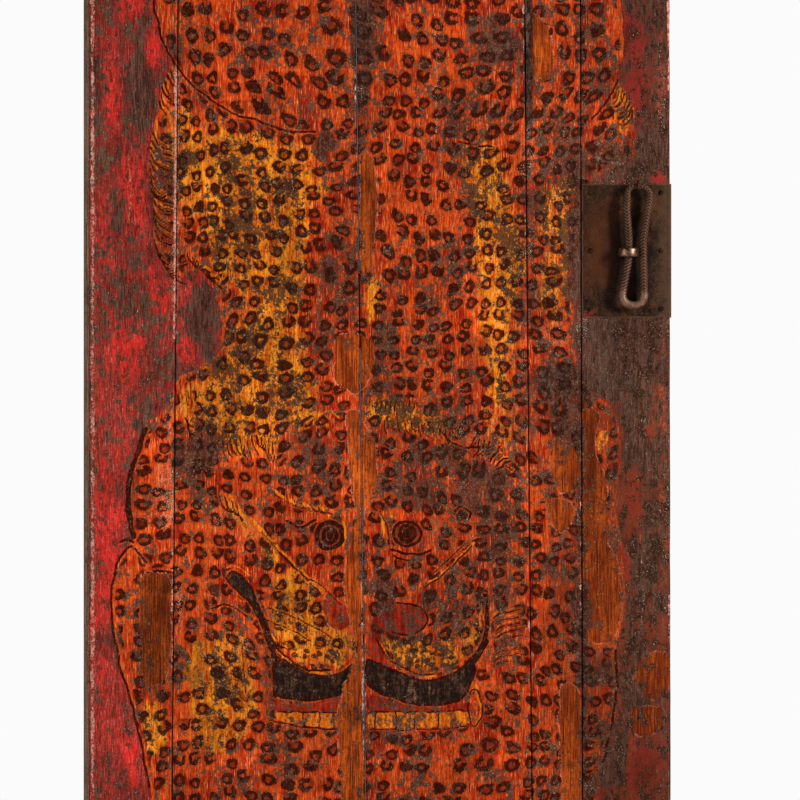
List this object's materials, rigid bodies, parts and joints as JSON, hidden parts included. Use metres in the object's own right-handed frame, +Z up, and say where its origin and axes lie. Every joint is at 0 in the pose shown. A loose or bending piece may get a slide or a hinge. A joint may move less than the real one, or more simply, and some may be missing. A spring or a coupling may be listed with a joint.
{
  "type": "painted temple door leaf",
  "caption": "Tall plank door leaf with wooden pivots, a painted leopard-skin front, back battens and an iron plate with a swinging loop pull.",
  "frame": {"origin": "on the pivot axis, at the shoulder of the lower pivot, level with the leaf's lower end", "axes": "+X across the leaf from the pivot axis to the closing edge, the painted front looks along -Y, +Z up"},
  "size_m": [0.7006, 0.0819, 1.765],
  "materials": {
    "painted_wood": "old paint, worn and grimy",
    "bare_wood": "aged, hand-planed",
    "forged_iron": "dark brown patina",
    "twisted_iron": "handled, grey-brown",
    "bright_collar": "rubbed bright"
  },
  "bodies": {
    "leaf": {"pivot_board": "painted_wood", "board_2": "painted_wood", "board_3": "painted_wood", "board_4": "painted_wood", "pull_board": "painted_wood", "dowels_seam_1": "bare_wood", "dowels_seam_2": "bare_wood", "dowels_seam_3": "bare_wood", "dowels_seam_4": "bare_wood", "batten_lower": "bare_wood", "batten_middle": "bare_wood", "batten_upper": "bare_wood", "batten_pegs": "bare_wood", "pull_plate": "forged_iron", "plate_nails": "forged_iron", "staple_rove": "forged_iron", "pull_staple": "forged_iron"},
    "pull": {"pull_loop": "twisted_iron", "pull_collar": "bright_collar"}
  },
  "joints": [
    {"name": "pull_swing", "type": "hinge", "parent": "leaf", "child": "pull", "pos_m": [0.63642, -0.0334, 0.9716], "axis": [-1, 0, 0], "range_deg": [0, 150]}
  ]
}
